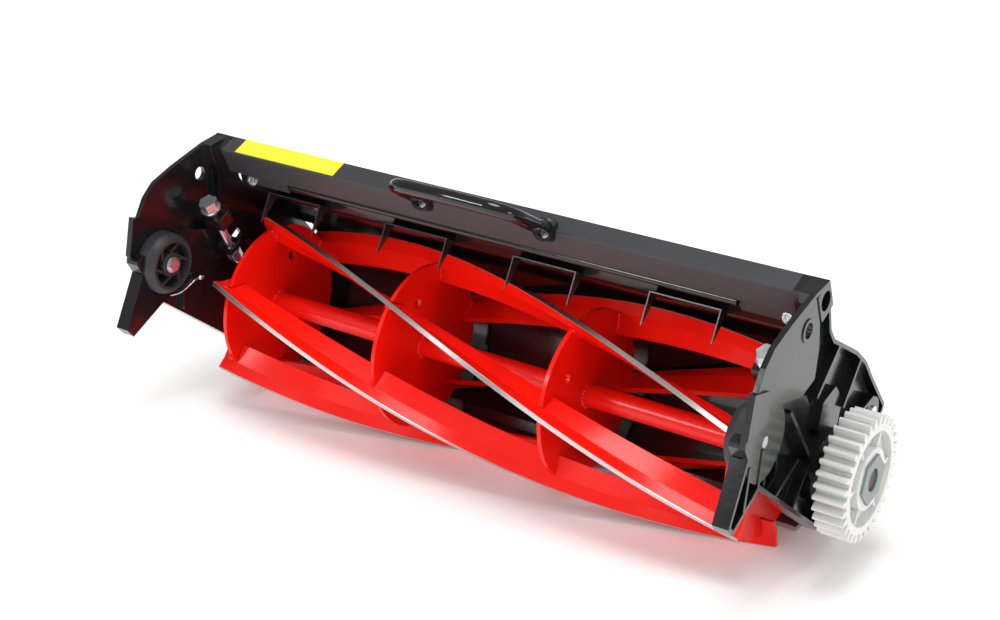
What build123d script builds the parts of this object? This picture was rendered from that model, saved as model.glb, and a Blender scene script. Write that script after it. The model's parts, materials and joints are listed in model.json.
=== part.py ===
from build123d import *
from math import atan2, cos, degrees, hypot, radians, sin
import os

os.makedirs("parts", exist_ok=True)

# Cutting cassette of a reel mower. Lengths are in millimetres.
# X runs along the reel, +Y is the rear and +Z is up. Shapes are drawn in (y, z)
# about the reel axis, and x is measured from the left end of the reel blades.

# driving dimensions
reel_length = 356.0
reel_radius = 57.0
disc_radius = 49.7
shaft_radius = 6.75
blade_count = 6
blade_twist = 119.2
blade_start = 32.0
gear_teeth = 32
gear_module = 2.0
gear_face = 17.0
side_gap = 14.2
web_thickness = 3.2
plate_depth = 8.9
foot_reach = 107.8
bar_depth = 13.5
bar_height = 17.3
bar_tilt = 22.6
handle_reach = 41.0

# extents of the whole part, which put its origin under the middle of its box
left_extent = -side_gap - 11.0
gear_in = 388.0
right_extent = gear_in + gear_face + 1.5
rear_extent = 77.4
mid_x = (left_extent + right_extent) / 2
mid_y = (rear_extent - foot_reach) / 2
sole_drop = reel_radius

parts = []


def across(x):
    """Plane square to the reel axis at x, with y to the right and z up."""
    return Plane(origin=(x - mid_x, -mid_y, sole_drop), x_dir=(0, 1, 0), z_dir=(1, 0, 0))


def place(x, y, z):
    """Point of the part's own frame for a place given about the reel axis."""
    return Vector(x - mid_x, y - mid_y, z + sole_drop)


def polar(r, angle):
    """Point (y, z) at radius r; the angle is from the rear, turning upwards."""
    return (r * cos(radians(angle)), r * sin(radians(angle)))


def finish(builder, name):
    """Label a finished piece and write its STEP file."""
    builder.part.label = name
    parts.append(builder.part)
    export_step(builder.part, "parts/" + name + ".step")


def side_names():
    """Each side of the part: its name, its plate's inner face and its outward sense."""
    return (("left", -side_gap, -1), ("right", reel_length + side_gap, 1))


# ---------------------------------------------------------------- side plates
bearing_radius = 16.0
bearing_width = 10.0
housing_radius = 20.5
housing_depth = 11.0
cover_lip = 1.0

plate_outline = [
    (-12.1, 108.4), (-27.0, 106.5), (-54.0, 99.6), (-70.5, 94.0), (-79.0, 87.0),
    (-86.5, 74.8), (-93.3, 60.5), (-95.4, 51.6), (-91.5, 44.7),
    (-foot_reach, 14.8), (-103.1, 9.2), (-77.2, 22.0), (1.2, -40.5),
    (75.6, -0.8), (rear_extent, 3.3), (55.9, 28.5), (45.2, 42.0),
    (31.5, 53.2), (0.0, 72.2), (-5.4, 79.6),
]
panel_outline = [
    (-21.0, 104.5), (-27.0, 106.5), (-54.0, 99.6), (-70.5, 94.0), (-79.0, 87.0), (-86.5, 74.8),
    (-93.3, 60.5), (-62.0, 60.5), (-34.5, 53.8), (-20.0, 57.7), (-17.5, 73.0),
]
panel_step = 0.6
front_block = [(-89.5, 78.0), (-74.5, 74.0), (-74.0, 57.0), (-94.9, 55.5)]
# the panel is hollow behind, from the inner face; the hollow is open at the front edge
recess_depth = 5.9
recess_outline = [
    (-29.5, 112.0), (-27.5, 100.0), (-23.2, 88.0), (-22.8, 75.0), (-24.6, 61.6), (-36.0, 56.6),
    (-42.0, 57.0), (-60.0, 63.0), (-75.0, 60.0), (-100.0, 52.0), (-104.0, 80.0), (-84.0, 104.0), (-60.0, 112.0),
]
roller_room = 0.7
window_centre = (-10.9, 43.4)
window_size = 7.0
ring_centre = (-33.0, 89.0)
ring_bore = 4.1
ring_radius = 6.2
hex_pad_centre = (8.0, 25.5)
cup_centre = (-58.0, 21.5)
cup_radius = 8.0
cup_flat = 3.6
cup_wall = 2.0
cup_rise = 1.5
cup_depth = 3.0
roller_centre = (-72.5, 45.7)
roller_radius = 18.5
pivot_centre = (60.0, 5.0)
bar_centre = (-15.3, 98.4)
bar_bore = 5.2
bar_bore_depth = 10.0
rib_lines = [
    ((7.0, 64.5), (-15.0, 46.0)),
    ((38.0, 46.0), (20.0, 26.0)),
    ((-58.0, 8.5), (-34.0, 18.0)),
    ((-36.0, -9.0), (-19.5, 8.0)),
    ((1.0, -37.5), (-6.5, -18.5)),
    ((-88.0, 38.0), (-92.0, 18.0)),
    ((-75.0, 42.0), (-78.0, 24.0)),
    ((-46.0, 50.0), (-18.0, 12.0)),
    ((60.0, 14.0), (19.0, 8.0)),
]
rib_width = 2.0
rim_width = 2.2


def bar_section(builder_plane, depth, height):
    """Tilted rectangle of the top bar's section on a plane across the part."""
    with BuildSketch(builder_plane) as section:
        with Locations(Location((bar_centre[0], bar_centre[1], 0), (0, 0, bar_tilt))):
            RectangleRounded(depth, height, 1.2)
    return section


def rib(plane, start, end, width):
    """Straight rib of a given width between two points, as a sketch."""
    length = hypot(end[0] - start[0], end[1] - start[1])
    turn = degrees(atan2(end[1] - start[1], end[0] - start[0]))
    middle = ((start[0] + end[0]) / 2, (start[1] + end[1]) / 2)
    with BuildSketch(plane) as strip:
        with Locations(Location((middle[0], middle[1], 0), (0, 0, turn))):
            Rectangle(length + width, width)
    return strip


def half_round(plane, radius):
    """Half-round outline of the cup, flat towards the front."""
    flat = cup_flat + (radius - cup_radius)
    with BuildSketch(plane) as shape:
        with Locations(cup_centre):
            Circle(radius)
            with Locations((-flat - radius, 0)):
                Rectangle(2 * radius, 2 * radius, mode=Mode.SUBTRACT)
    return shape


for side, inner, out in side_names():
    outer = inner + out * plate_depth
    web_face = inner + out * web_thickness
    with BuildPart() as plate:
        with BuildSketch(across(inner)):
            with BuildLine():
                Polyline(*plate_outline, close=True)
            make_face()
        extrude(amount=out * plate_depth)
        # the outer face is hollowed down to the web inside a rim
        with BuildSketch(across(web_face)):
            with BuildLine():
                Polyline(*plate_outline, close=True)
            make_face()
            offset(amount=-rim_width, kind=Kind.INTERSECTION, mode=Mode.REPLACE)
        extrude(amount=out * plate_depth, mode=Mode.SUBTRACT)
        # raised panel, front block and stiffening ribs
        with BuildSketch(across(inner)):
            with BuildLine():
                Polyline(*panel_outline, close=True)
            make_face()
        extrude(amount=out * (plate_depth - panel_step))
        # round housing behind the roller, within the plate's outline
        with BuildSketch(across(inner)):
            with BuildLine():
                Polyline(*plate_outline, close=True)
            make_face()
            with Locations(roller_centre):
                Circle(roller_radius + roller_room + 1.6, mode=Mode.INTERSECT)
        extrude(amount=out * (plate_depth - panel_step))
        with BuildSketch(across(inner)):
            with BuildLine():
                Polyline(*front_block, close=True)
            make_face()
        extrude(amount=out * (plate_depth + 0.8))
        for start, end in rib_lines:
            extrude(rib(across(inner), start, end, rib_width).sketch, amount=out * plate_depth)
        with BuildSketch(across(inner)):
            with Locations(hex_pad_centre):
                RegularPolygon(15.0, 6, rotation=12)
        extrude(amount=out * (plate_depth - 2.4))
        # round bosses: bearing housing, ring bush, roller post and carrier pivot
        with BuildSketch(across(inner)):
            Circle(housing_radius)
        extrude(amount=out * housing_depth)
        for centre, radius, depth in (
            (ring_centre, ring_radius, plate_depth),
            (pivot_centre, 9.0, plate_depth),
        ):
            with BuildSketch(across(inner)):
                with Locations(centre):
                    Circle(radius)
            extrude(amount=out * depth)
        # spigot that enters the top bar, and the shoulder that the bar butts on
        extrude(bar_section(across(inner), bar_depth, bar_height).sketch, amount=out * plate_depth)
        extrude(bar_section(across(inner), bar_depth, bar_height).sketch, amount=-out * 5.0)
        extrude(
            bar_section(across(inner - out * 5.0), bar_depth - 4.4, bar_height - 4.4).sketch,
            amount=-out * 12.0,
        )
        # half-round cup, pressed inwards from the web and open to the outside
        cup_rim = inner + out * (web_thickness + cup_rise)
        cup_reach = web_thickness + cup_rise + cup_depth
        extrude(half_round(across(cup_rim), cup_radius + cup_wall).sketch, amount=-out * cup_reach)
        # hollow behind the panel, with room for the roller
        with BuildSketch(across(inner)):
            with BuildLine():
                Polyline(*recess_outline, close=True)
            make_face()
        extrude(amount=out * recess_depth, mode=Mode.SUBTRACT)
        with BuildSketch(across(inner - out * cup_depth)):
            with Locations(roller_centre):
                Circle(roller_radius + roller_room)
        extrude(amount=out * (recess_depth + cup_depth), mode=Mode.SUBTRACT)
        extrude(half_round(across(outer), cup_radius).sketch,
                amount=-out * (plate_depth + cup_depth - cup_wall), mode=Mode.SUBTRACT)
        # bores
        with BuildSketch(across(inner)):
            Circle(bearing_radius)
        extrude(amount=out * bearing_width, mode=Mode.SUBTRACT)
        with BuildSketch(across(inner)):
            Circle(11.0)
        extrude(amount=out * housing_depth, mode=Mode.SUBTRACT)
        for centre, radius in (
            (ring_centre, ring_bore),
            (roller_centre, 3.0),
            (pivot_centre, 4.0),
        ):
            with BuildSketch(across(inner)):
                with Locations(centre):
                    Circle(radius)
            extrude(amount=out * 12.0, mode=Mode.SUBTRACT)
        with BuildSketch(across(outer)):
            with Locations(bar_centre):
                Circle(bar_bore)
        extrude(amount=-out * bar_bore_depth, mode=Mode.SUBTRACT)
        with BuildSketch(across(inner)):
            with Locations(Location((window_centre[0], window_centre[1], 0), (0, 0, 35))):
                Rectangle(window_size, window_size)
        extrude(amount=out * 12.0, mode=Mode.SUBTRACT)
    finish(plate, side + "_side_plate")

# ------------------------------------------------------------------- top bar
bar_wall = 2.0
bar_inset = side_gap - 5.0
with BuildPart() as top_bar:
    extrude(bar_section(across(-bar_inset), bar_depth, bar_height).sketch,
            amount=reel_length + 2 * bar_inset)
    extrude(bar_section(across(-bar_inset), bar_depth - 2 * bar_wall, bar_height - 2 * bar_wall).sketch,
            amount=reel_length + 2 * bar_inset, mode=Mode.SUBTRACT)
finish(top_bar, "top_bar")


def bar_point(along, up):
    """Point (y, z) on the bar's section: along its depth to the rear, and up its height."""
    turn = radians(bar_tilt)
    return (
        bar_centre[0] + along * cos(turn) - up * sin(turn),
        bar_centre[1] + along * sin(turn) + up * cos(turn),
    )


# plain yellow plate on the bar's top face
label_start = 1.0
label_length = 75.0
with BuildPart() as label_plate:
    with BuildSketch(across(label_start)):
        with Locations(Location((*bar_point(0, bar_height / 2 + 0.15), 0), (0, 0, bar_tilt))):
            Rectangle(bar_depth - 1.6, 0.3)
    extrude(amount=label_length)
finish(label_plate, "label_plate")

# ------------------------------------------------------------- carrying handle
handle_feet = (141.5, 222.0)
handle_radius = 3.9
lean = radians(31.0)
leg_inset = 2.0
grip_arch = 4.0
foot_point = bar_point(-bar_depth / 2, bar_height / 2)
pad_radius = 6.2
pad_depth = 3.2
screw_seat = 1.4
screw_offset = 1.6


def handle_point(reach):
    """Point (y, z) at a distance from the bar's front edge, along the handle's lean."""
    return (foot_point[0] - reach * cos(lean), foot_point[1] + reach * sin(lean))


# the feet sit on the bar's front upper edge, square to the middle of its two faces
foot_turn = radians(45 - bar_tilt)
foot_normal = (0, -cos(foot_turn), sin(foot_turn))
with BuildPart() as carry_handle:
    with BuildLine() as bow:
        FilletPolyline(
            place(handle_feet[0], *foot_point),
            place(handle_feet[0] + leg_inset, *handle_point(handle_reach - grip_arch / 2)),
            place(sum(handle_feet) / 2, *handle_point(handle_reach + grip_arch / 2)),
            place(handle_feet[1] - leg_inset, *handle_point(handle_reach - grip_arch / 2)),
            place(handle_feet[1], *foot_point),
            radius=(15.0, 60.0, 15.0),
        )
    bow_start = Plane(origin=bow.line @ 0, z_dir=bow.line % 0)
    with BuildSketch(bow_start):
        Circle(handle_radius)
    sweep()
    for foot_x in handle_feet:
        pad_plane = Plane(origin=place(foot_x, *foot_point), x_dir=(1, 0, 0), z_dir=foot_normal)
        with BuildSketch(pad_plane.offset(-5.0)):
            Circle(pad_radius)
        extrude(amount=5.0 + pad_depth)
        # root of the leg, round and wider than the grip
        leg_plane = Plane(origin=place(foot_x, *foot_point), x_dir=(1, 0, 0),
                          z_dir=(0, -cos(lean), sin(lean)))
        with BuildSketch(leg_plane):
            Circle(pad_radius - 0.4)
        extrude(amount=10.0, taper=12.0)
        # counterbore for the screw
        with BuildSketch(pad_plane.offset(screw_seat)):
            with Locations((screw_offset, -screw_offset)):
                Circle(2.9)
        extrude(amount=20.0, mode=Mode.SUBTRACT)
        with BuildSketch(pad_plane.offset(-2.0)):
            with Locations((screw_offset, -screw_offset)):
                Circle(1.7)
        extrude(amount=2.0 + screw_seat, mode=Mode.SUBTRACT)
    # all that would enter the bar is trimmed off
    with BuildSketch(across(handle_feet[0] - 20)):
        with Locations(Location((bar_centre[0], bar_centre[1], 0), (0, 0, bar_tilt))):
            Rectangle(bar_depth + 0.04, bar_height + 0.04)
    extrude(amount=handle_feet[1] - handle_feet[0] + 40, mode=Mode.SUBTRACT)
finish(carry_handle, "carry_handle")

# --------------------------------------------------------------- rear deflector
sheet = 1.2
deflector_radius = 59.6
deflector_end = -20.0
deflector_margin = side_gap - 0.7
lip_front = bar_point(-bar_depth / 2 + 2.5, -bar_height / 2 - 0.1 - sheet / 2)
lip_rear = bar_point(bar_depth / 2 - 1.0, -bar_height / 2 - 0.1 - sheet / 2)
sheet_bend = (-2.4, 71.5)
sheet_radius = deflector_radius + sheet / 2
arm_space = 4.6
notch_depth = deflector_margin + 1 - arm_space
with BuildPart() as rear_deflector:
    with BuildSketch(across(-deflector_margin)):
        with BuildLine():
            FilletPolyline(lip_front, lip_rear, sheet_bend, polar(sheet_radius, 60), radius=4.0)
            CenterArc((0, 0), sheet_radius, 60, deflector_end - 60)
        trace(line_width=sheet)
    extrude(amount=reel_length + 2 * deflector_margin)
    # both lower ends are cut back to clear the carrier's arms and pivots
    for start, length in ((-deflector_margin - 1, notch_depth), (reel_length + arm_space, notch_depth)):
        with BuildSketch(across(start)):
            with Locations((58.0, 5.0)):
                Rectangle(24.0, 58.0)
        extrude(amount=length, mode=Mode.SUBTRACT)
    # rolled bead along the front lip
    with BuildSketch(across(38.0)):
        with Locations(bar_point(-bar_depth / 2 + 2.0, -bar_height / 2 - 2.4)):
            Circle(2.3)
    extrude(amount=294.0)
finish(rear_deflector, "rear_deflector")

# end brackets that hold the deflector under the bar
clip_height = 7.0
clip_middle = bar_point(-bar_depth / 2 + 3.6, -bar_height / 2 - 0.1 - sheet - clip_height / 2)
for side, start in (("left", 2.0), ("right", 333.0)):
    with BuildPart() as clip:
        with BuildSketch(across(start)):
            with Locations(Location((*clip_middle, 0), (0, 0, bar_tilt))):
                Rectangle(3.0, clip_height)
        extrude(amount=31.0)
        fillet(clip.edges().filter_by(Axis.X), 0.6)
    finish(clip, side + "_deflector_clip")

# ------------------------------------------------------------- grass guards
guard_spans = ((13.5, 53.5), (102.2, 146.3), (191.2, 232.5), (277.7, 320.4))
guard_sheet = 0.8
guard_profile = [(-10.0, 77.2), (-19.2, 60.4), (-3.4, 71.8), (-3.4, 73.6)]
guard_hollow = [(-12.1, 77.45), (-22.0, 56.0), (0.5, 58.0), (-2.0, 71.95)]
for number, (start, end) in enumerate(guard_spans, 1):
    with BuildPart() as guard:
        with BuildSketch(across(start)):
            with BuildLine():
                Polyline(*guard_profile, close=True)
            make_face()
        extrude(amount=end - start)
        with BuildSketch(across(start + guard_sheet)):
            with BuildLine():
                Polyline(*guard_hollow, close=True)
            make_face()
        extrude(amount=end - start - 2 * guard_sheet, mode=Mode.SUBTRACT)
    finish(guard, "grass_guard_" + str(number))

# --------------------------------------------------------------------- reel
disc_places = (7.8, 121.0, 235.0, 348.2)
disc_thickness = 2.5
blade_thickness = 2.8
blade_bend = 49.5
blade_root = 39.0
tip_reach = reel_radius - 0.1
blade_lean = 7.5
stations = 12


def blade_angle(number, x):
    """Direction of blade number at x, turning forwards along the reel."""
    return blade_start + number * 360 / blade_count + blade_twist * x / reel_length


def blade_outline(angle, gap=0.0):
    """Corner points of a blade's section, bent once, with a gap added round it."""
    lead = -gap
    trail = blade_thickness + gap
    corners = []
    for r, turn in ((tip_reach, 0.0), (blade_bend, 1.0), (blade_root - gap, blade_lean)):
        corners.append((r, turn, lead))
    for r, turn in ((blade_root - gap, blade_lean), (blade_bend, 1.0), (tip_reach, 0.0)):
        corners.append((r, turn, trail))
    points = []
    for r, turn, shift in corners:
        base = polar(r, angle - turn)
        side_step = polar(shift, angle - turn - 90)
        points.append((base[0] + side_step[0], base[1] + side_step[1]))
    return points


with BuildPart() as reel_shaft:
    with BuildSketch(across(-side_gap - 9.6)):
        Circle(6.0)
    extrude(amount=right_extent - 1.0 + side_gap + 9.6)
    with BuildSketch(across(-3.0)):
        Circle(shaft_radius)
    extrude(amount=reel_length + 6.0)
    chamfer(reel_shaft.edges().group_by(Axis.X)[-1], 0.8)
finish(reel_shaft, "reel_shaft")

for number in range(blade_count):
    with BuildPart() as blade:
        for station in range(stations + 1):
            x = reel_length * station / stations
            with BuildSketch(across(x)):
                with BuildLine():
                    Polyline(*blade_outline(blade_angle(number, x)), close=True)
                make_face()
        loft()
    finish(blade, "reel_blade_" + str(number + 1))

notch_gap = 0.25
for number, middle in enumerate(disc_places, 1):
    start = middle - disc_thickness / 2
    with BuildPart() as disc:
        with BuildSketch(across(start)):
            Circle(disc_radius)
            Circle(shaft_radius + 0.02, mode=Mode.SUBTRACT)
            with PolarLocations(30.0, 1, start_angle=blade_angle(0, middle) + 30):
                Circle(3.0, mode=Mode.SUBTRACT)
        extrude(amount=disc_thickness)
        # each blade passes through a notch that opens at the rim
        for blade_number in range(blade_count):
            with BuildSketch(across(start - 0.5)):
                with BuildLine():
                    Polyline(*blade_outline(blade_angle(blade_number, middle), notch_gap + 0.4), close=True)
                make_face()
            extrude(amount=disc_thickness + 1.0, mode=Mode.SUBTRACT)
        with BuildSketch(across(start - 5.0)):
            Circle(shaft_radius + 4.0)
            Circle(shaft_radius + 0.02, mode=Mode.SUBTRACT)
        extrude(amount=5.0)
    finish(disc, "reel_disc_" + str(number))

# ---------------------------------------------------- drive gear and its nut
pitch_radius = gear_teeth * gear_module / 2
tip_radius = pitch_radius + gear_module
root_radius = pitch_radius - 1.25 * gear_module
tooth_turn = 360 / gear_teeth
tooth_profile = (
    (root_radius - 0.5, -0.31), (root_radius + 0.4, -0.28), (pitch_radius, -0.24),
    (tip_radius - 0.6, -0.15), (tip_radius, -0.10), (tip_radius, 0.10),
    (tip_radius - 0.6, 0.15), (pitch_radius, 0.24), (root_radius + 0.4, 0.28),
    (root_radius - 0.5, 0.31),
)
nut_flat = 24.0
nut_depth = 9.0
web_inset = 5.0
with BuildPart() as drive_gear:
    with BuildSketch(across(gear_in)):
        Circle(root_radius)
        with BuildSketch(mode=Mode.PRIVATE) as tooth:
            with BuildLine():
                Polyline(*[polar(r, turn * tooth_turn) for r, turn in tooth_profile], close=True)
            make_face()
        with PolarLocations(0, gear_teeth):
            add(tooth.sketch)
    extrude(amount=gear_face)
    for face_x, depth in ((gear_in, 7.0), (gear_in + gear_face, -web_inset)):
        with BuildSketch(across(face_x)):
            Circle(root_radius - 4.0)
            Circle(16.8, mode=Mode.SUBTRACT)
        extrude(amount=depth, mode=Mode.SUBTRACT)
    with BuildSketch(across(gear_in - 3.0)):
        Circle(12.0)
    extrude(amount=3.0)
    # six stiffening ribs in the outer recess
    with BuildSketch(across(gear_in + gear_face - web_inset)):
        with PolarLocations(21.0, 6):
            Rectangle(9.6, 2.0)
    extrude(amount=web_inset - 1.5)
    with BuildSketch(across(gear_in - 3.0)):
        Circle(6.05)
    extrude(amount=gear_face + 3.0, mode=Mode.SUBTRACT)
    with BuildSketch(across(gear_in + gear_face + 1.5 - nut_depth)):
        RegularPolygon(nut_flat / 2 + 0.02, 6, major_radius=False, rotation=10)
    extrude(amount=nut_depth, mode=Mode.SUBTRACT)
finish(drive_gear, "drive_gear")

with BuildPart() as gear_nut:
    with BuildSketch(across(right_extent - nut_depth)):
        RegularPolygon(nut_flat / 2, 6, major_radius=False, rotation=10)
        Circle(6.02, mode=Mode.SUBTRACT)
    extrude(amount=nut_depth)
    chamfer(gear_nut.faces().sort_by(Axis.X)[-1].edges().filter_by(GeomType.CIRCLE), 0.5)
finish(gear_nut, "gear_nut")

# ------------------------------------------------------------------ bearings
for side, inner, out in side_names():
    with BuildPart() as outer_race:
        with BuildSketch(across(inner)):
            Circle(bearing_radius)
            Circle(12.6, mode=Mode.SUBTRACT)
        extrude(amount=out * (bearing_width - 0.05))
        with BuildSketch(across(inner + out * 0.6)):
            Circle(12.7)
            Circle(9.0, mode=Mode.SUBTRACT)
        extrude(amount=out * 0.6)
    finish(outer_race, side + "_bearing_outer")
    with BuildPart() as inner_race:
        with BuildSketch(across(inner + out * 1.6)):
            Circle(8.6)
            Circle(6.0, mode=Mode.SUBTRACT)
        extrude(amount=out * (bearing_width - 2.0))
    finish(inner_race, side + "_bearing_inner")

# -------------------------------------------------------------- front rollers
roller_inboard = 6.0
roller_outboard = 5.7
roller_width = roller_inboard + roller_outboard
tread_wall = 5.0
shoulder_depth = 4.5
shoulder_drop = 3.2
hub_radius = 7.4
hub_inset = 1.2
post_radius = 4.0
spoke_count = 6
for side, inner, out in side_names():
    start = inner + out * roller_outboard
    with BuildPart() as roller:
        with BuildSketch(across(start)):
            with Locations(roller_centre):
                Circle(roller_radius)
        extrude(amount=-out * (roller_width - shoulder_depth))
        # the tread falls away towards the reel
        with BuildSketch(across(start - out * (roller_width - shoulder_depth))):
            with Locations(roller_centre):
                Circle(roller_radius)
        with BuildSketch(across(start - out * (roller_width - shoulder_depth / 2))):
            with Locations(roller_centre):
                Circle(roller_radius - shoulder_drop / 3)
        with BuildSketch(across(start - out * roller_width)):
            with Locations(roller_centre):
                Circle(roller_radius - shoulder_drop)
        loft()
        with BuildSketch(across(start)):
            with Locations(roller_centre):
                Circle(roller_radius - tread_wall)
        extrude(amount=-out * roller_width, mode=Mode.SUBTRACT)
        with BuildSketch(across(start)):
            with Locations(roller_centre):
                Circle(roller_radius - 1.0)
        extrude(amount=-out * 3.0)
        with BuildSketch(across(start)):
            with Locations(roller_centre):
                Circle(hub_radius)
        extrude(amount=-out * (roller_width - hub_inset))
        # swept spokes between the hub and the tread
        with BuildSketch(across(start)):
            with Locations(roller_centre):
                with PolarLocations(11.4, spoke_count):
                    with Locations(Location((0, 0, 0), (0, 0, 34 * out))):
                        Rectangle(12.0, 1.7)
            with Locations(roller_centre):
                Circle(roller_radius - tread_wall + 0.5, mode=Mode.INTERSECT)
        extrude(amount=-out * (roller_width - 2.2))
        with BuildSketch(across(start)):
            with Locations(roller_centre):
                Circle(post_radius + 0.06)
        extrude(amount=-out * roller_width, mode=Mode.SUBTRACT)
    finish(roller, side + "_roller")

    # shoulder bolt: thread in the plate, post in the roller, flanged head
    with BuildPart() as roller_bolt:
        with BuildSketch(across(inner + out * (plate_depth - panel_step))):
            with Locations(roller_centre):
                Circle(3.0)
        extrude(amount=-out * (plate_depth - panel_step - recess_depth))
        with BuildSketch(across(inner + out * recess_depth)):
            with Locations(roller_centre):
                Circle(post_radius)
        extrude(amount=-out * (recess_depth + roller_inboard - hub_inset + 0.2))
        with BuildSketch(across(inner - out * (roller_inboard - hub_inset + 0.2))):
            with Locations(roller_centre):
                Circle(4.9)
        extrude(amount=-out * 0.7)
        with BuildSketch(across(inner - out * (roller_inboard - hub_inset + 0.9))):
            with Locations(roller_centre):
                RegularPolygon(3.4, 6, major_radius=False)
        extrude(amount=-out * 1.8)
    finish(roller_bolt, side + "_roller_bolt")

# ------------------------------------------------- bottom blade and its carrier
lip_gap = 0.4
lip_angle = -70.0
lip_point = polar(reel_radius + lip_gap, lip_angle)
blade_sheet = 2.6
sole = -reel_radius
arm_thickness = 2.4
arm_clear = 0.5
carrier_inset = side_gap - arm_clear - arm_thickness
knife_profile = [
    (lip_point[0], lip_point[1] - 0.2), (lip_point[0], sole + 0.6), (lip_point[0] + 0.8, sole),
    (50.0, sole), (50.0, sole + blade_sheet), (27.5, sole + blade_sheet),
    (lip_point[0] + 4.0, lip_point[1]),
]
screw_y = 47.0
blade_screw_count = 5
screw_places = [reel_length * (index + 0.5) / blade_screw_count for index in range(blade_screw_count)]
with BuildPart() as bottom_blade:
    with BuildSketch(across(-2.0)):
        with BuildLine():
            Polyline(*knife_profile, close=True)
        make_face()
    extrude(amount=reel_length + 4.0)
    for x in screw_places:
        with BuildSketch(Plane(origin=place(x, screw_y, sole))):
            Circle(2.5)
        extrude(amount=blade_sheet, mode=Mode.SUBTRACT)
finish(bottom_blade, "bottom_blade")

beam_bottom = sole + blade_sheet
beam_sheet = 3.5
beam_wall = 3.4
beam_radius = 58.8
lip_radius = 61.4
lip_wall = 2.0
with BuildPart() as blade_carrier:
    # base flange above the blade
    with BuildSketch(across(-carrier_inset)):
        with BuildLine():
            Polyline((28.6, beam_bottom), (54.0, beam_bottom), (54.0, beam_bottom + beam_sheet),
                     (33.8, beam_bottom + beam_sheet), polar(beam_radius, -57.0), close=True)
        make_face()
    extrude(amount=reel_length + 2 * carrier_inset)
    # curved wall that follows the reel behind it
    with BuildSketch(across(-carrier_inset)):
        with BuildLine():
            CenterArc((0, 0), beam_radius, -23.5, -33.5)
            Line(polar(beam_radius, -57.0), (34.5, beam_bottom + 0.5))
            Line((34.5, beam_bottom + 0.5), polar(beam_radius + beam_wall, -52.0))
            CenterArc((0, 0), beam_radius + beam_wall, -52.0, 28.5)
            Line(polar(beam_radius + beam_wall, -23.5), polar(beam_radius, -23.5))
        make_face()
    extrude(amount=reel_length + 2 * carrier_inset)
    # upper lip that stands behind the deflector's lower edge
    with BuildSketch(across(-arm_space)):
        with BuildLine():
            CenterArc((0, 0), lip_radius, -11.0, -16.5)
            Line(polar(lip_radius, -27.5), polar(lip_radius + lip_wall, -27.5))
            CenterArc((0, 0), lip_radius + lip_wall, -27.5, 16.5)
            Line(polar(lip_radius + lip_wall, -11.0), polar(lip_radius, -11.0))
        make_face()
    extrude(amount=reel_length + 2 * arm_space)
    for x in screw_places:
        with BuildSketch(Plane(origin=place(x, screw_y, beam_bottom))):
            Circle(2.5)
        extrude(amount=beam_sheet, mode=Mode.SUBTRACT)
finish(blade_carrier, "blade_carrier")

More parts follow.
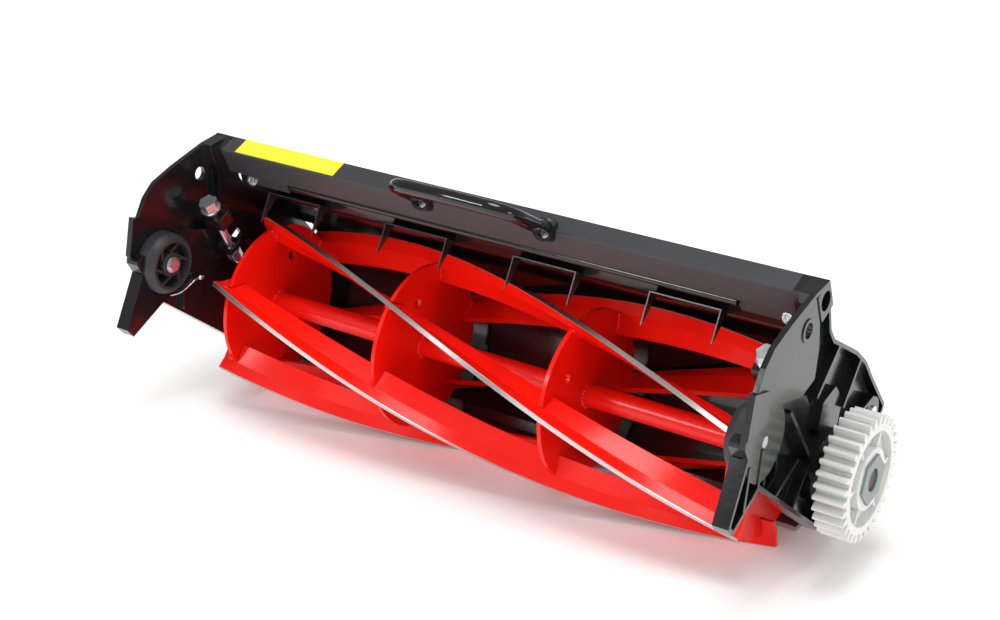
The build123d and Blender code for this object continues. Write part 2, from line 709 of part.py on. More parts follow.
screw_axis_start = (-40.5, 72.6)
screw_turn = atan2(-32.0, 16.1)
screw_dir = (cos(screw_turn), sin(screw_turn))
tab_distance = 33.0
tab_point = (screw_axis_start[0] + tab_distance * screw_dir[0],
             screw_axis_start[1] + tab_distance * screw_dir[1])
screw_x_inset = 8.0
screw_radius = 2.5
for side, inner, out in side_names():
    arm_face = inner - out * arm_clear
    screw_x = inner - out * screw_x_inset
    with BuildPart() as arm:
        for start, end, width in (
            (tab_point, (10.0, 30.0), 8.0),
            ((10.0, 30.0), pivot_centre, 10.0),
            (pivot_centre, (52.0, -44.0), 13.0),
            ((52.0, -44.0), (40.0, -49.0), 9.0),
        ):
            extrude(rib(across(arm_face), start, end, width).sketch, amount=-out * arm_thickness)
        with BuildSketch(across(arm_face)):
            with Locations(pivot_centre):
                Circle(9.0)
        extrude(amount=-out * arm_thickness)
        # tab turned square to the adjuster screw, with a slot for it
        with BuildSketch(across(arm_face)):
            with Locations(Location((*tab_point, 0), (0, 0, degrees(screw_turn)))):
                Rectangle(3.0, 12.0)
        extrude(amount=-out * 12.4)
        tab_plane = Plane(origin=place(screw_x, *tab_point), x_dir=(1, 0, 0),
                          z_dir=(0, screw_dir[0], screw_dir[1]))
        with BuildSketch(tab_plane.offset(-6)):
            SlotOverall(10.0, 6.2, rotation=90)
        extrude(amount=12.0, mode=Mode.SUBTRACT)
        with BuildSketch(across(inner)):
            with Locations(pivot_centre):
                Circle(5.05)
        extrude(amount=-out * 10.0, mode=Mode.SUBTRACT)
    finish(arm, side + "_carrier_arm")

    with BuildPart() as pivot_bolt:
        with BuildSketch(across(inner + out * (plate_depth + 1.0))):
            with Locations(pivot_centre):
                Circle(4.0)
        extrude(amount=-out * (plate_depth + 1.0))
        with BuildSketch(across(inner)):
            with Locations(pivot_centre):
                Circle(5.0)
        extrude(amount=-out * 4.2)
        with BuildSketch(across(inner - out * 4.2)):
            with Locations(pivot_centre):
                RegularPolygon(6.5, 6, major_radius=False)
        extrude(amount=-out * 4.4)
    finish(pivot_bolt, side + "_pivot_bolt")

    # adjuster screw with its head, collar and lower lock nut
    screw_plane = Plane(origin=place(screw_x, *screw_axis_start), x_dir=(1, 0, 0),
                        z_dir=(0, screw_dir[0], screw_dir[1]))
    with BuildPart() as adjuster:
        with BuildSketch(screw_plane.offset(-5.0)):
            RegularPolygon(5.0, 6, major_radius=False)
        extrude(amount=5.0)
        with BuildSketch(screw_plane):
            Circle(6.2)
        extrude(amount=1.4)
        with BuildSketch(screw_plane):
            Circle(screw_radius)
        extrude(amount=46.0)
        with BuildSketch(screw_plane.offset(tab_distance + 4.2)):
            RegularPolygon(4.0, 6, major_radius=False)
        extrude(amount=6.0)
    finish(adjuster, side + "_adjuster_screw")

    # fixed bracket on the plate that the screw turns in
    with BuildPart() as bracket:
        with BuildSketch(screw_plane.offset(5.5)):
            with Locations((out * recess_depth / 2, 0)):
                Rectangle(2 * screw_x_inset + recess_depth, 10.0)
            Circle(screw_radius + 0.05, mode=Mode.SUBTRACT)
        extrude(amount=8.0)
    finish(bracket, side + "_adjuster_bracket")

# ------------------------------------------------------------------ fasteners
with BuildPart() as blade_screws:
    for x in screw_places:
        with BuildSketch(Plane(origin=place(x, screw_y, sole + 0.4))):
            Circle(2.5)
        extrude(amount=blade_sheet - 0.4 + beam_sheet)
        with BuildSketch(Plane(origin=place(x, screw_y, beam_bottom + beam_sheet))):
            RegularPolygon(4.0, 6, major_radius=False)
        extrude(amount=3.2)
finish(blade_screws, "blade_screws")

with BuildPart() as handle_screws:
    for foot_x in handle_feet:
        pad_plane = Plane(origin=place(foot_x, *foot_point), x_dir=(1, 0, 0), z_dir=foot_normal)
        with BuildSketch(pad_plane.offset(0.4)):
            with Locations((screw_offset, -screw_offset)):
                Circle(1.7)
        extrude(amount=screw_seat - 0.4)
        with BuildSketch(pad_plane.offset(screw_seat)):
            with Locations((screw_offset, -screw_offset)):
                Circle(2.7)
        extrude(amount=1.9)
    # the shanks stop at the bar
    with BuildSketch(across(handle_feet[0] - 20)):
        with Locations(Location((bar_centre[0], bar_centre[1], 0), (0, 0, bar_tilt))):
            Rectangle(bar_depth + 0.04, bar_height + 0.04)
    extrude(amount=handle_feet[1] - handle_feet[0] + 40, mode=Mode.SUBTRACT)
finish(handle_screws, "handle_screws")

whole = Compound(children=parts)
box = whole.bounding_box()
print("box", box.min, box.max, "mid_y", mid_y)
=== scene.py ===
import json
from math import cos, pi, radians, sin

import bmesh
import bpy
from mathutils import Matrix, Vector


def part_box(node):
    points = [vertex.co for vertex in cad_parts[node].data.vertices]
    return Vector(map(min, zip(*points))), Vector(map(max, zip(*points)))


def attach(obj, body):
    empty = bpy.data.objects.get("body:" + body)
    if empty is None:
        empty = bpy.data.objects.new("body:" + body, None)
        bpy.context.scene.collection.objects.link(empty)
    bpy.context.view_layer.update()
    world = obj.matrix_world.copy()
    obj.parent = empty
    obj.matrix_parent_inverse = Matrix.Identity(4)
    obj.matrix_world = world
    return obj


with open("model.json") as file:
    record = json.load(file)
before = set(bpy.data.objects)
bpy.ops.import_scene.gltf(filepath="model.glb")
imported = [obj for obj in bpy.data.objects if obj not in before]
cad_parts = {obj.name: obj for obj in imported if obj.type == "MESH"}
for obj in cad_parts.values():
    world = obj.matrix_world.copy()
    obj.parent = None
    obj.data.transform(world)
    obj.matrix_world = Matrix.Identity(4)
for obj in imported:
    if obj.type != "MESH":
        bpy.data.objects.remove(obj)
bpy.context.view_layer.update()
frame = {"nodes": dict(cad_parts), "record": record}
nodes = frame["nodes"]
print("frame loaded:", len(nodes), "parts")

millimetre = 0.001


# ------------------------------------------------------------ places from the frame
def middle(node):
    low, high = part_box(node)
    return (Vector(low) + Vector(high)) / 2


def lowest(node):
    return Vector(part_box(node)[0])


def highest(node):
    return Vector(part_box(node)[1])


shaftMiddle = middle("reel_shaft")
reelAxisY = shaftMiddle.y
reelAxisZ = shaftMiddle.z
reelLeft = lowest("reel_blade_1").x


# a place in millimetres: x from the reel's left end, y and z from its axis
def onReel(x, y, z):
    return Vector((reelLeft + x * millimetre, reelAxisY + y * millimetre, reelAxisZ + z * millimetre))


# ------------------------------------------------------------ camera, floor and light
cameraSetup = {
    "place": (0.4962, -0.7291, 0.4973),
    "forward": (-0.51675, 0.75253, -0.40825),
    "lens": 62.57,
    "sensor": 36.0,
}


def addCamera(setup):
    data = bpy.data.cameras.new("viewCamera")
    data.lens = setup["lens"]
    data.sensor_width = setup["sensor"]
    data.clip_start = 0.01
    camera = bpy.data.objects.new("viewCamera", data)
    bpy.context.scene.collection.objects.link(camera)
    camera.location = setup["place"]
    camera.rotation_euler = Vector(setup["forward"]).to_track_quat("-Z", "Y").to_euler()
    bpy.context.scene.camera = camera


studio = {
    "floorSize": 12.0,
    "floorColour": (0.95, 0.95, 0.95, 1),
    "floorRoughness": 0.9,
    "seenStrength": 1.0,
    "diffuseStrength": 1.0,
    "glossyStrength": 0.3,
    # name, place, target, size, power
    "softboxes": (
        ("overheadBox", (0.15, -0.1, 1.5), (0.0, 0.0, 0.05), 0.7, 9.0),
        ("frontBox", (-0.7, -1.4, 1.0), (0.0, 0.0, 0.05), 0.35, 5.0),
        ("rightBox", (1.5, -0.3, 0.6), (0.1, 0.0, 0.08), 0.4, 2.6),
    ),
}


# the world is white to the camera and in diffuse light, and darker in reflections
def addWorld(setup):
    world = bpy.data.worlds.new("studioWorld")
    world.use_nodes = True
    tree = world.node_tree
    background = tree.nodes["Background"]
    background.inputs["Color"].default_value = (1, 1, 1, 1)
    rays = tree.nodes.new("ShaderNodeLightPath")
    strength = tree.nodes.new("ShaderNodeMix")
    strength.inputs["A"].default_value = setup["diffuseStrength"]
    strength.inputs["B"].default_value = setup["glossyStrength"]
    tree.links.new(rays.outputs["Is Glossy Ray"], strength.inputs["Factor"])
    seen = tree.nodes.new("ShaderNodeMix")
    seen.inputs["B"].default_value = setup["seenStrength"]
    tree.links.new(rays.outputs["Is Camera Ray"], seen.inputs["Factor"])
    tree.links.new(strength.outputs["Result"], seen.inputs["A"])
    tree.links.new(seen.outputs["Result"], background.inputs["Strength"])
    bpy.context.scene.world = world
    bpy.context.scene.view_settings.view_transform = "Standard"


def addStudio(setup):
    half = setup["floorSize"] / 2
    mesh = bpy.data.meshes.new("studioFloor")
    corners = [(-half, -half, 0), (half, -half, 0), (half, half, 0), (-half, half, 0)]
    mesh.from_pydata(corners, [], [(0, 1, 2, 3)])
    floor = bpy.data.objects.new("studioFloor", mesh)
    bpy.context.scene.collection.objects.link(floor)
    paint = bpy.data.materials.new("floorPaper")
    paint.use_nodes = True
    shader = paint.node_tree.nodes["Principled BSDF"]
    shader.inputs["Base Color"].default_value = setup["floorColour"]
    shader.inputs["Roughness"].default_value = setup["floorRoughness"]
    mesh.materials.append(paint)
    for name, place, target, size, power in setup["softboxes"]:
        light = bpy.data.lights.new(name, "AREA")
        light.shape = "DISK"
        light.size = size
        light.energy = power
        lamp = bpy.data.objects.new(name, light)
        bpy.context.scene.collection.objects.link(lamp)
        lamp.location = place
        lamp.rotation_euler = (Vector(target) - Vector(place)).to_track_quat("-Z", "Y").to_euler()


addCamera(cameraSetup)
addWorld(studio)
addStudio(studio)
print("camera, floor and light placed")


# ------------------------------------------------------------ shared material effects
def newGroup(name, inputs, outputs):
    group = bpy.data.node_groups.new(name, "ShaderNodeTree")
    for label, kind, value in inputs:
        socket = group.interface.new_socket(name=label, in_out="INPUT", socket_type=kind)
        socket.default_value = value
    for label, kind in outputs:
        group.interface.new_socket(name=label, in_out="OUTPUT", socket_type=kind)
    return group, group.nodes.new("NodeGroupInput"), group.nodes.new("NodeGroupOutput")


skinDetail = {"grainDetail": 3.0, "patchDetail": 4.0, "bumpDistance": 0.0004, "edgeSamples": 4}


# fine grain, rounded edges, and slow patches that vary the roughness and colour
def buildPaintSkin():
    group, start, end = newGroup(
        "paintSkin",
        (("Grain Scale", "NodeSocketFloat", 400.0), ("Grain Depth", "NodeSocketFloat", 0.1),
         ("Base Roughness", "NodeSocketFloat", 0.3), ("Roughness Spread", "NodeSocketFloat", 0.1),
         ("Patch Scale", "NodeSocketFloat", 40.0), ("Edge Radius", "NodeSocketFloat", 0.0004)),
        (("Roughness", "NodeSocketFloat"), ("Normal", "NodeSocketVector"), ("Patches", "NodeSocketFloat")),
    )
    add, link = group.nodes.new, group.links.new
    where = add("ShaderNodeTexCoord")
    grain = add("ShaderNodeTexNoise")
    grain.inputs["Detail"].default_value = skinDetail["grainDetail"]
    link(where.outputs["Object"], grain.inputs["Vector"])
    link(start.outputs["Grain Scale"], grain.inputs["Scale"])
    bump = add("ShaderNodeBump")
    bump.inputs["Distance"].default_value = skinDetail["bumpDistance"]
    link(start.outputs["Grain Depth"], bump.inputs["Strength"])
    link(grain.outputs["Fac"], bump.inputs["Height"])
    edge = add("ShaderNodeBevel")
    edge.samples = skinDetail["edgeSamples"]
    link(start.outputs["Edge Radius"], edge.inputs["Radius"])
    link(edge.outputs["Normal"], bump.inputs["Normal"])
    link(bump.outputs["Normal"], end.inputs["Normal"])
    patch = add("ShaderNodeTexNoise")
    patch.inputs["Detail"].default_value = skinDetail["patchDetail"]
    link(where.outputs["Object"], patch.inputs["Vector"])
    link(start.outputs["Patch Scale"], patch.inputs["Scale"])
    centred = add("ShaderNodeMath")
    centred.operation = "SUBTRACT"
    centred.inputs[1].default_value = 0.5
    link(patch.outputs["Fac"], centred.inputs[0])
    spread = add("ShaderNodeMath")
    spread.operation = "MULTIPLY_ADD"
    link(centred.outputs[0], spread.inputs[0])
    link(start.outputs["Roughness Spread"], spread.inputs[1])
    link(start.outputs["Base Roughness"], spread.inputs[2])
    link(spread.outputs[0], end.inputs["Roughness"])
    link(patch.outputs["Fac"], end.inputs["Patches"])
    return group


# 1 where the surface is further from the reel's axis than Inner
def buildRadiusMask():
    group, start, end = newGroup(
        "aboutReelAxis",
        (("Inner", "NodeSocketFloat", 0.0565), ("Blend", "NodeSocketFloat", 0.0002)),
        (("Mask", "NodeSocketFloat"),),
    )
    add, link = group.nodes.new, group.links.new
    where = add("ShaderNodeTexCoord")
    offset = add("ShaderNodeVectorMath")
    offset.operation = "SUBTRACT"
    offset.inputs[1].default_value = (0, reelAxisY, reelAxisZ)
    link(where.outputs["Object"], offset.inputs[0])
    flat = add("ShaderNodeVectorMath")
    flat.operation = "MULTIPLY"
    flat.inputs[1].default_value = (0, 1, 1)
    link(offset.outputs[0], flat.inputs[0])
    length = add("ShaderNodeVectorMath")
    length.operation = "LENGTH"
    link(flat.outputs[0], length.inputs[0])
    past = add("ShaderNodeMath")
    past.operation = "SUBTRACT"
    link(length.outputs["Value"], past.inputs[0])
    link(start.outputs["Inner"], past.inputs[1])
    ramp = add("ShaderNodeMath")
    ramp.operation = "DIVIDE"
    ramp.use_clamp = True
    link(past.outputs[0], ramp.inputs[0])
    link(start.outputs["Blend"], ramp.inputs[1])
    link(ramp.outputs[0], end.inputs["Mask"])
    return group


paintSkin = buildPaintSkin()
aboutReelAxis = buildRadiusMask()


# ------------------------------------------------------------ materials
def newMaterial(name):
    material = bpy.data.materials.new(name)
    material.use_nodes = True
    return material, material.node_tree, material.node_tree.nodes["Principled BSDF"]


def placeGroup(tree, group, values):
    node = tree.nodes.new("ShaderNodeGroup")
    node.node_tree = group
    for label, value in values.items():
        node.inputs[label].default_value = value
    return node


def tintedBy(tree, mask, low, high):
    mix = tree.nodes.new("ShaderNodeMix")
    mix.data_type = "RGBA"
    mix.inputs["A"].default_value = (*low, 1)
    mix.inputs["B"].default_value = (*high, 1)
    tree.links.new(mask, mix.inputs["Factor"])
    return mix.outputs["Result"]


def paintMaterial(name, look):
    material, tree, shader = newMaterial(name)
    skin = placeGroup(tree, paintSkin, look["skin"])
    tree.links.new(skin.outputs["Roughness"], shader.inputs["Roughness"])
    tree.links.new(skin.outputs["Normal"], shader.inputs["Normal"])
    tint = tintedBy(tree, skin.outputs["Patches"], look["dark"], look["light"])
    tree.links.new(tint, shader.inputs["Base Color"])
    for label, value in look.get("shader", {}).items():
        shader.inputs[label].default_value = value
    return material


finishes = {
    "castBlack": {
        "dark": (0.004, 0.004, 0.0045), "light": (0.010, 0.010, 0.011),
        "skin": {"Grain Scale": 260.0, "Grain Depth": 0.16, "Base Roughness": 0.2, "Roughness Spread": 0.25,
                 "Patch Scale": 30.0},
        "shader": {"Coat Weight": 0.3, "Coat Roughness": 0.1},
    },
    "glossBlack": {
        "dark": (0.004, 0.004, 0.0045), "light": (0.009, 0.009, 0.010),
        "skin": {"Grain Scale": 180.0, "Grain Depth": 0.08, "Base Roughness": 0.14, "Roughness Spread": 0.1,
                 "Patch Scale": 20.0},
        "shader": {"Coat Weight": 0.3, "Coat Roughness": 0.05},
    },
    "barBlack": {
        "dark": (0.030, 0.030, 0.033), "light": (0.044, 0.044, 0.048),
        "skin": {"Grain Scale": 1800.0, "Grain Depth": 0.25, "Base Roughness": 0.42, "Roughness Spread": 0.12,
                 "Patch Scale": 25.0},
        "shader": {},
    },
    "guardBlack": {
        "dark": (0.012, 0.012, 0.012), "light": (0.022, 0.022, 0.022),
        "skin": {"Grain Scale": 700.0, "Grain Depth": 0.1, "Base Roughness": 0.24, "Roughness Spread": 0.2,
                 "Patch Scale": 60.0},
        "shader": {},
    },
    "rollerBlack": {
        "dark": (0.018, 0.018, 0.020), "light": (0.032, 0.032, 0.035),
        "skin": {"Grain Scale": 900.0, "Grain Depth": 0.3, "Base Roughness": 0.5, "Roughness Spread": 0.15,
                 "Patch Scale": 60.0},
        "shader": {},
    },
    "nylonWhite": {
        "dark": (0.63, 0.64, 0.62), "light": (0.73, 0.74, 0.715),
        "skin": {"Grain Scale": 500.0, "Grain Depth": 0.06, "Base Roughness": 0.34, "Roughness Spread": 0.12,
                 "Patch Scale": 50.0},
        "shader": {"Subsurface Weight": 0.3, "Subsurface Scale": 0.003},
    },
    "zincPlate": {
        "dark": (0.55, 0.57, 0.6), "light": (0.8, 0.81, 0.82),
        "skin": {"Grain Scale": 900.0, "Grain Depth": 0.12, "Base Roughness": 0.22, "Roughness Spread": 0.3,
                 "Patch Scale": 120.0},
        "shader": {"Metallic": 0.9},
    },
    "nutGrey": {
        "dark": (0.20, 0.25, 0.24), "light": (0.32, 0.37, 0.35),
        "skin": {"Grain Scale": 800.0, "Grain Depth": 0.2, "Base Roughness": 0.42, "Roughness Spread": 0.3,
                 "Patch Scale": 140.0},
        "shader": {"Metallic": 0.6},
    },
    "bearingSteel": {
        "dark": (0.35, 0.35, 0.36), "light": (0.5, 0.5, 0.5),
        "skin": {"Grain Scale": 1200.0, "Grain Depth": 0.05, "Base Roughness": 0.3, "Roughness Spread": 0.2,
                 "Patch Scale": 90.0},
        "shader": {"Metallic": 1.0},
    },
    "groundSteel": {
        "dark": (0.42, 0.42, 0.43), "light": (0.62, 0.62, 0.62),
        "skin": {"Grain Scale": 1500.0, "Grain Depth": 0.1, "Base Roughness": 0.32, "Roughness Spread": 0.2,
                 "Patch Scale": 100.0},
        "shader": {"Metallic": 1.0},
    },
    "shaftBrown": {
        "dark": (0.06, 0.035, 0.022), "light": (0.20, 0.13, 0.09),
        "skin": {"Grain Scale": 900.0, "Grain Depth": 0.3, "Base Roughness": 0.45, "Roughness Spread": 0.3,
                 "Patch Scale": 220.0},
        "shader": {"Metallic": 0.7},
    },
    "labelYellow": {
        "dark": (0.70, 0.62, 0.02), "light": (0.78, 0.70, 0.035),
        "skin": {"Grain Scale": 300.0, "Grain Depth": 0.04, "Base Roughness": 0.35, "Roughness Spread": 0.1,
                 "Patch Scale": 15.0},
        "shader": {},
    },
}


redPaint = {
    "dark": (0.80, 0.006, 0.002), "light": (0.95, 0.011, 0.004),
    "skin": {"Grain Scale": 220.0, "Grain Depth": 0.08, "Base Roughness": 0.22, "Roughness Spread": 0.15,
             "Patch Scale": 30.0},
    "ground": (0.62, 0.61, 0.6), "groundRoughness": 0.3,
    "landStart": 0.0565, "landBlend": 0.0001,
    "shader": {"Specular IOR Level": 0.35},
}


# red paint, with bare steel on the ground edges of the blades
def reelMaterial(name, look):
    material, tree, shader = newMaterial(name)
    link = tree.links.new
    skin = placeGroup(tree, paintSkin, look["skin"])
    land = placeGroup(tree, aboutReelAxis, {"Inner": look["landStart"], "Blend": look["landBlend"]})
    paint = tintedBy(tree, skin.outputs["Patches"], look["dark"], look["light"])
    colour = tree.nodes.new("ShaderNodeMix")
    colour.data_type = "RGBA"
    colour.inputs["B"].default_value = (*look["ground"], 1)
    link(land.outputs["Mask"], colour.inputs["Factor"])
    link(paint, colour.inputs["A"])
    link(colour.outputs["Result"], shader.inputs["Base Color"])
    link(land.outputs["Mask"], shader.inputs["Metallic"])
    rough = tree.nodes.new("ShaderNodeMix")
    rough.inputs["B"].default_value = look["groundRoughness"]
    link(land.outputs["Mask"], rough.inputs["Factor"])
    link(skin.outputs["Roughness"], rough.inputs["A"])
    link(rough.outputs["Result"], shader.inputs["Roughness"])
    link(skin.outputs["Normal"], shader.inputs["Normal"])
    for label, value in look["shader"].items():
        shader.inputs[label].default_value = value
    return material


# the shaft is painted, and bare from the right plate to its end
shaftPaint = {"bareFrom": onReel(372, 0, 0).x, "blend": 0.0005}


def shaftMaterial(name, look, bare, setup):
    material, tree, shader = newMaterial(name)
    link, add = tree.links.new, tree.nodes.new
    skin = placeGroup(tree, paintSkin, bare["skin"])
    where = add("ShaderNodeTexCoord")
    split = add("ShaderNodeSeparateXYZ")
    link(where.outputs["Object"], split.inputs["Vector"])
    past = add("ShaderNodeMapRange")
    past.inputs["From Min"].default_value = setup["bareFrom"]
    past.inputs["From Max"].default_value = setup["bareFrom"] + setup["blend"]
    link(split.outputs["X"], past.inputs["Value"])
    colour = add("ShaderNodeMix")
    colour.data_type = "RGBA"
    link(past.outputs["Result"], colour.inputs["Factor"])
    link(tintedBy(tree, skin.outputs["Patches"], look["dark"], look["light"]), colour.inputs["A"])
    link(tintedBy(tree, skin.outputs["Patches"], bare["dark"], bare["light"]), colour.inputs["B"])
    link(colour.outputs["Result"], shader.inputs["Base Color"])
    link(past.outputs["Result"], shader.inputs["Metallic"])
    rough = add("ShaderNodeMix")
    rough.inputs["A"].default_value = look["skin"]["Base Roughness"]
    link(past.outputs["Result"], rough.inputs["Factor"])
    link(skin.outputs["Roughness"], rough.inputs["B"])
    link(rough.outputs["Result"], shader.inputs["Roughness"])
    link(skin.outputs["Normal"], shader.inputs["Normal"])
    return material


materials = {name: paintMaterial(name, look) for name, look in finishes.items()}
materials["reelRed"] = reelMaterial("reelRed", redPaint)
materials["shaftFinish"] = shaftMaterial("shaftFinish", redPaint, finishes["shaftBrown"], shaftPaint)

slotFinish = {
    "cast_black": "castBlack", "gloss_black": "glossBlack", "bar_black": "barBlack",
    "guard_black": "guardBlack", "roller_black": "rollerBlack", "nylon_white": "nylonWhite",
    "zinc": "zincPlate", "nut_grey": "nutGrey", "bearing_steel": "bearingSteel",
    "ground_steel": "groundSteel", "label_yellow": "labelYellow", "reel_red": "reelRed",
}
for entry in frame["record"]["subparts"]:
    part = nodes[entry["node"]]
    part.data.materials.clear()
    part.data.materials.append(materials[slotFinish[entry["material_slot"]]])
nodes["reel_shaft"].data.materials.clear()
nodes["reel_shaft"].data.materials.append(materials["shaftFinish"])
print("finishes given to the parts")


# ------------------------------------------------------------ repeated pieces
# puts a piece on every point, turned to the point's "facing", at a random size
def buildScatterTree():
    tree = bpy.data.node_groups.new("pieceOnEveryPoint", "GeometryNodeTree")
    face = tree.interface
    face.new_socket(name="Geometry", in_out="INPUT", socket_type="NodeSocketGeometry")
    for label, kind in (("Piece", "NodeSocketObject"), ("Finish", "NodeSocketMaterial"),
                        ("Smallest", "NodeSocketFloat"), ("Largest", "NodeSocketFloat"),
                        ("Seed", "NodeSocketInt")):
        face.new_socket(name=label, in_out="INPUT", socket_type=kind)
    face.new_socket(name="Geometry", in_out="OUTPUT", socket_type="NodeSocketGeometry")
    add, link = tree.nodes.new, tree.links.new
    start, end = add("NodeGroupInput"), add("NodeGroupOutput")
    piece = add("GeometryNodeObjectInfo")
    link(start.outputs["Piece"], piece.inputs["Object"])
    facing = add("GeometryNodeInputNamedAttribute")
    facing.data_type = "FLOAT_VECTOR"
    facing.inputs["Name"].default_value = "facing"
    turn = add("FunctionNodeAlignRotationToVector")
    turn.axis = "Z"
    link(facing.outputs["Attribute"], turn.inputs["Vector"])
    size = add("FunctionNodeRandomValue")
    size.data_type = "FLOAT"
    link(start.outputs["Smallest"], size.inputs["Min"])
    link(start.outputs["Largest"], size.inputs["Max"])
    link(start.outputs["Seed"], size.inputs["Seed"])
    place = add("GeometryNodeInstanceOnPoints")
    link(start.outputs["Geometry"], place.inputs["Points"])
    link(piece.outputs["Geometry"], place.inputs["Instance"])
    link(turn.outputs["Rotation"], place.inputs["Rotation"])
    link(size.outputs["Value"], place.inputs["Scale"])
    real = add("GeometryNodeRealizeInstances")
    link(place.outputs["Instances"], real.inputs["Geometry"])
    finish = add("GeometryNodeSetMaterial")
    link(real.outputs["Geometry"], finish.inputs["Geometry"])
    link(start.outputs["Finish"], finish.inputs["Material"])
    link(finish.outputs["Geometry"], end.inputs["Geometry"])
    return tree


def shadeAll(made, smooth):
    made.data.polygons.foreach_set("use_smooth", [smooth] * len(made.data.polygons))


def meshObject(name, mesh):
    made = bpy.data.objects.new(name, mesh)
    bpy.context.scene.collection.objects.link(made)
    return made


def scattered(name, spots, piece, finish, smallest, largest, seed):
    mesh = bpy.data.meshes.new(name + "Points")
    mesh.from_pydata([spot for spot, _ in spots], [], [])
    facing = mesh.attributes.new("facing", "FLOAT_VECTOR", "POINT")
    for index, (_, direction) in enumerate(spots):
        facing.data[index].vector = direction
    holder = meshObject(name + "Holder", mesh)
    modifier = holder.modifiers.new("scatter", "NODES")
    modifier.node_group = scatterTree
    values = {"Piece": piece, "Finish": finish, "Smallest": smallest, "Largest": largest, "Seed": seed}
    for item in scatterTree.interface.items_tree:
        if item.in_out == "INPUT" and item.name in values:
            modifier[item.identifier] = values[item.name]
    depsgraph = bpy.context.evaluated_depsgraph_get()
    plain = bpy.data.meshes.new_from_object(holder.evaluated_get(depsgraph), depsgraph=depsgraph)
    plain.name = name
    bpy.data.objects.remove(holder)
    return meshObject(name, plain)


scatterTree = buildScatterTree()


# a closed turned shape, with flat hexagonal sides at the rings named in hexRings
def latheMesh(name, rings, sides=24, hexRings=()):
    shape = bmesh.new()
    loops = []
    for index, (radius, height) in enumerate(rings):
        loop = []
        for step in range(sides):
            angle = 2 * pi * step / sides
            reach = radius
            if index in hexRings:
                reach = radius / cos((angle + pi / 6) % (pi / 3) - pi / 6)
            loop.append(shape.verts.new((reach * cos(angle), reach * sin(angle), height)))
        loops.append(loop)
    for low, high in zip(loops, loops[1:]):
        for step in range(sides):
            after = (step + 1) % sides
            shape.faces.new((low[step], low[after], high[after], high[step]))
    shape.faces.new(list(reversed(loops[0])))
    shape.faces.new(loops[-1])
    mesh = bpy.data.meshes.new(name)
    shape.to_mesh(mesh)
    shape.free()
    return mesh


# ------------------------------------------------------------ weld drops on the reel
weldDrops = {
    "discs": (7.8, 121.0, 235.0, 348.2), "discHalf": 1.25, "shaftRadius": 7.1, "aroundShaft": 26,
    "bladeStart": 32.0, "bladeTwist": 119.2 / 356.0, "bladeCount": 6,
    "rootRadius": 41.0, "tipRadius": 49.0, "alongBlade": 9,
    "rootLean": 7.5, "leanChange": 6.5, "inFront": 0.5,
    "smallest": 0.0009, "largest": 0.0015, "seed": 7,
}


def shaftSpots(setup, x, facing):
    radius = setup["shaftRadius"]
    angles = [2 * pi * step / setup["aroundShaft"] for step in range(setup["aroundShaft"])]
    return [(onReel(x, radius * cos(angle), radius * sin(angle)), facing) for angle in angles]


def bladeSpots(setup, x, blade, facing):
    spots = []
    middleAngle = setup["bladeStart"] + 360 / setup["bladeCount"] * blade + setup["bladeTwist"] * x
    for step in range(setup["alongBlade"]):
        share = step / (setup["alongBlade"] - 1)
        radius = setup["rootRadius"] + share * (setup["tipRadius"] - setup["rootRadius"])
        turn = middleAngle - setup["rootLean"] + setup["leanChange"] * share
        angle, across = radians(turn), radians(turn - 90)
        y = radius * cos(angle) - setup["inFront"] * cos(across)
        z = radius * sin(angle) - setup["inFront"] * sin(across)
        spots.append((onReel(x, y, z), facing))
    return spots


# the shaft's drops are on each disc's right face only: its collar hides the left one
def weldSpots(setup):
    spots = []
    for disc in setup["discs"]:
        for side in (-1, 1):
            x = disc + side * setup["discHalf"]
            facing = Vector((side, 0, 0))
            if side > 0:
                spots += shaftSpots(setup, x, facing)
            for blade in range(setup["bladeCount"]):
                spots += bladeSpots(setup, x, blade, facing)
    return spots


dropShape = bmesh.new()
bmesh.ops.create_icosphere(dropShape, subdivisions=2, radius=1.0)
dropMesh = bpy.data.meshes.new("weldDrop")
dropShape.to_mesh(dropMesh)
dropShape.free()
dropPiece = meshObject("weldDrop", dropMesh)
reelWelds = scattered("reelWelds", weldSpots(weldDrops), dropPiece, materials["reelRed"],
                      weldDrops["smallest"], weldDrops["largest"], weldDrops["seed"])
bpy.data.objects.remove(dropPiece)
shadeAll(reelWelds, True)
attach(reelWelds, "reel")
print("weld drops placed:", len(reelWelds.data.vertices), "vertices")

# ------------------------------------------------------------ screws on the clips
clipScrews = {
    "alongX": {"left": 4.5, "right": 361.0}, "fromClipEnd": 0.004, "sunk": 0.0005,
    "facing": (0, -0.924, 0.383), "flat": 2.6, "headHeight": 2.0,
    "washerRadius": 3.6, "washerHeight": 0.5, "seed": 1,
}


def screwMesh(setup):
    flat, washer = setup["flat"] * millimetre, setup["washerRadius"] * millimetre
    low = setup["washerHeight"] * millimetre
    high = (setup["washerHeight"] + setup["headHeight"]) * millimetre
    rings = (
        (washer * 0.97, 0.0), (washer, low * 0.3), (washer, low * 0.8), (washer * 0.96, low),
        (flat, low), (flat, high * 0.85), (flat * 0.9, high),
        (flat * 0.45, high), (flat * 0.4, high * 0.85),
    )
    return latheMesh("clipScrewHead", rings, hexRings=(4, 5, 6))


def screwSpot(setup, side):
    clip = side + "_deflector_clip"
    low, high = lowest(clip), highest(clip)
    margin = setup["fromClipEnd"]
    x = min(max(onReel(setup["alongX"][side], 0, 0).x, low.x + margin), high.x - margin)
    return Vector((x, low.y + setup["sunk"], (low.z + high.z) / 2)), Vector(setup["facing"])


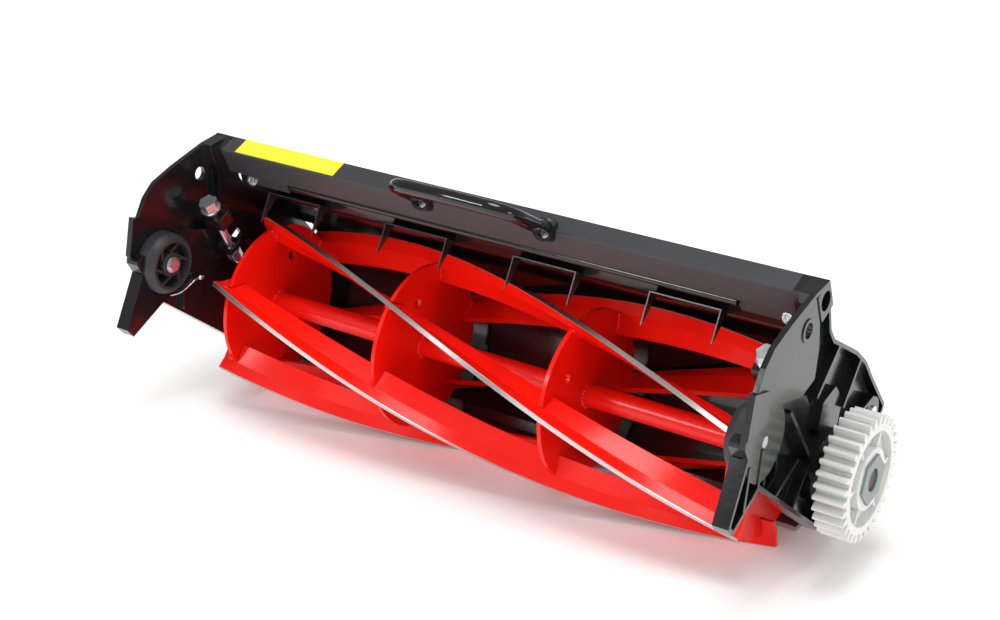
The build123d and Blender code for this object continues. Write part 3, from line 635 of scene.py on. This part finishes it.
screwSpots = [screwSpot(clipScrews, side) for side in ("left", "right")]
screwPiece = meshObject("clipScrewHead", screwMesh(clipScrews))
clipScrewHeads = scattered("clipScrewHeads", screwSpots, screwPiece, materials["zincPlate"], 1.0, 1.0,
                           clipScrews["seed"])
bpy.data.objects.remove(screwPiece)
shadeAll(clipScrewHeads, False)
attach(clipScrewHeads, "frame")
print("clip screws placed")

# ------------------------------------------------------------ spring wire by the left roller
springWire = {
    "route": ((-14.8, -71.0, 24.2), (-11.0, -67.0, 24.2), (-10.2, -58.0, 27.5), (-10.2, -52.0, 30.0),
              (-10.5, -48.5, 29.0)),
    "radius": 0.0005, "endRadius": 0.0015, "endStretch": 1.5,
}


def springWireMesh(setup):
    curve = bpy.data.curves.new("springWireLine", "CURVE")
    curve.dimensions = "3D"
    curve.bevel_depth = setup["radius"]
    curve.bevel_resolution = 3
    curve.use_fill_caps = True
    line = curve.splines.new("NURBS")
    line.points.add(len(setup["route"]) - 1)
    for point, spot in zip(line.points, setup["route"]):
        point.co = (*onReel(*spot), 1)
    line.order_u = 3
    line.use_endpoint_u = True
    holder = bpy.data.objects.new("springWireLine", curve)
    bpy.context.scene.collection.objects.link(holder)
    depsgraph = bpy.context.evaluated_depsgraph_get()
    tube = bpy.data.meshes.new_from_object(holder.evaluated_get(depsgraph), depsgraph=depsgraph)
    bpy.data.objects.remove(holder)
    shape = bmesh.new()
    shape.from_mesh(tube)
    bead = bmesh.ops.create_icosphere(shape, subdivisions=3, radius=setup["endRadius"])
    wireEnd = onReel(*setup["route"][-1])
    for vert in bead["verts"]:
        vert.co = Vector((vert.co.x, vert.co.y * setup["endStretch"], vert.co.z)) + wireEnd
    bmesh.ops.recalc_face_normals(shape, faces=shape.faces)
    mesh = bpy.data.meshes.new("rollerSpringWire")
    shape.to_mesh(mesh)
    shape.free()
    return mesh


rollerSpringWire = meshObject("rollerSpringWire", springWireMesh(springWire))
rollerSpringWire.data.materials.append(materials["zincPlate"])
shadeAll(rollerSpringWire, True)
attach(rollerSpringWire, "frame")
print("spring wire placed")
